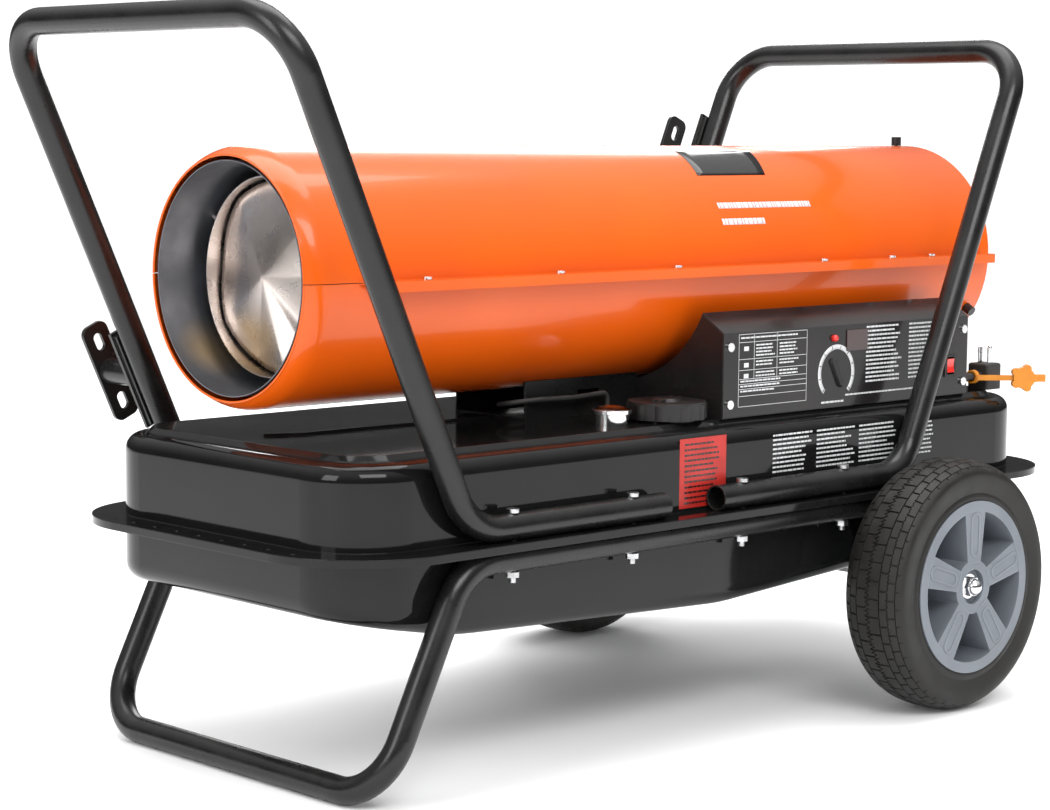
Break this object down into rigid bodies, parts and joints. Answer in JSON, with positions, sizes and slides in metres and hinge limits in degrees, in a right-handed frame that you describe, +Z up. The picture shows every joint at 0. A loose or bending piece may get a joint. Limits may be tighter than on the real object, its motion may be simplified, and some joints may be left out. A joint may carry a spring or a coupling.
{
  "type": "forced-air kerosene heater",
  "caption": "Wheeled torpedo heater: orange barrel with flame cone and fan over a black fuel tank, control box with knob and switch, tube handles and stand.",
  "frame": {"origin": "on the ground, under the middle of the whole heater", "axes": "+X along the barrel from the hot-air outlet to the fan guard, -Y towards the control face, +Z up"},
  "size_m": [1.1212, 0.627, 0.7009],
  "materials": {
    "tank_black": "high-gloss black enamel",
    "shell_orange": "glossy orange enamel",
    "tube_black": "satin black powder coat",
    "box_black": "semi-gloss black paint",
    "galvanised": "aluminised steel sheet",
    "stainless": "brushed stainless sheet",
    "zinc": "bright zinc plate",
    "chrome": "bright chrome",
    "brass": "machined brass",
    "black_plastic": "matte moulded plastic",
    "black_rubber": "matte rubber",
    "orange_rubber": "matte rubber",
    "hub_grey": "moulded grey plastic",
    "tyre": "black tyre rubber",
    "aluminium": "cast aluminium",
    "carbon": "machined carbon",
    "ceramic_white": "glazed ceramic",
    "board_green": "printed circuit board",
    "clear": "clear lens",
    "smoked": "dark red window",
    "needle_red": "red needle",
    "float_black": "closed-cell float",
    "red_plastic": "red moulded plastic"
  },
  "bodies": {
    "frame": {"air_hose": "black_rubber", "axle": "zinc", "axle_nuts": "chrome", "barrel_support": "tube_black", "burner_head": "galvanised", "burner_nozzle": "brass", "circuit_board": "board_green", "combustion_chamber": "galvanised", "control_box": "box_black", "control_cover": "box_black", "cord_bushing": "black_rubber", "cord_wraps": "tube_black", "cover_screws": "chrome", "display_window": "smoked", "drain_plug": "zinc", "fan_guard": "box_black", "filler_neck": "tank_black", "filter_cover": "aluminium", "flame_cone": "stainless", "flame_sensor": "black_plastic", "frame_bolts": "zinc", "frame_nuts": "zinc", "front_handle": "tube_black", "fuel_hose": "black_rubber", "fuel_pickup": "brass", "gauge_body": "chrome", "gauge_lens": "clear", "guard_knobs": "black_plastic", "ignition_transformer": "black_plastic", "indicator_lamp": "red_plastic", "lower_shell": "shell_orange", "motor": "aluminium", "motor_bracket": "box_black", "outlet_ring": "stainless", "plug_blades": "chrome", "plug_body": "black_rubber", "plug_cover": "orange_rubber", "power_cord": "black_rubber", "pump_body": "aluminium", "rear_handle": "tube_black", "spark_igniter": "ceramic_white", "switch_frame": "black_plastic", "tank_lower": "tank_black", "tank_upper": "tank_black", "thermostat": "black_plastic", "upper_shell": "shell_orange", "wheel_frame": "tube_black"},
    "wheel_left": {"hub_left": "hub_grey", "tyre_left": "tyre"},
    "wheel_right": {"hub_right": "hub_grey", "tyre_right": "tyre"},
    "rotor": {"motor_shaft": "zinc", "fan": "aluminium", "pump_rotor": "carbon"},
    "cap_seal": {"cap_gasket": "black_rubber"},
    "cap": {"fuel_cap": "black_plastic"},
    "knob": {"thermostat_knob": "black_plastic"},
    "rocker": {"switch_rocker": "red_plastic"},
    "float": {"gauge_float": "float_black"},
    "needle": {"gauge_needle": "needle_red"}
  },
  "joints": [
    {"name": "wheel_left_spin", "type": "hinge", "parent": "frame", "child": "wheel_left", "pos_m": [0.27, 0.27, 0.13], "axis": [0, 1, 0], "continuous": true},
    {"name": "wheel_right_spin", "type": "hinge", "parent": "frame", "child": "wheel_right", "pos_m": [0.27, -0.27, 0.13], "axis": [0, 1, 0], "continuous": true},
    {"name": "fan_spin", "type": "hinge", "parent": "frame", "child": "rotor", "pos_m": [0.3, 0, 0.457], "axis": [1, 0, 0], "continuous": true},
    {"name": "fuel_cap_lift", "type": "slide", "parent": "frame", "child": "cap_seal", "axis": [0, 0, 1], "range_m": [0, 0.045]},
    {"name": "fuel_cap_turn", "type": "hinge", "parent": "cap_seal", "child": "cap", "pos_m": [-0.014, -0.136, 0.32], "axis": [0, 0, 1], "range_deg": [0, 90]},
    {"name": "thermostat_turn", "type": "hinge", "parent": "frame", "child": "knob", "pos_m": [0.2066, -0.175, 0.3447], "axis": [0, 1, 0], "range_deg": [0, 270]},
    {"name": "switch_rock", "type": "hinge", "parent": "frame", "child": "rocker", "pos_m": [0.4, -0.166, 0.341], "axis": [1, 0, 0], "range_deg": [0, 16]},
    {"name": "float_swing", "type": "hinge", "parent": "frame", "child": "float", "pos_m": [-0.08, -0.125, 0.228], "axis": [0, 1, 0], "range_deg": [-104, 0]},
    {"name": "needle_turn", "type": "hinge", "parent": "frame", "child": "needle", "pos_m": [-0.08, -0.125, 0.3208], "axis": [0, 0, 1], "range_deg": [-104, 0]}
  ],
  "couplings": [
    {"joint": "needle_turn", "follows": "float_swing", "ratio": 1}
  ]
}
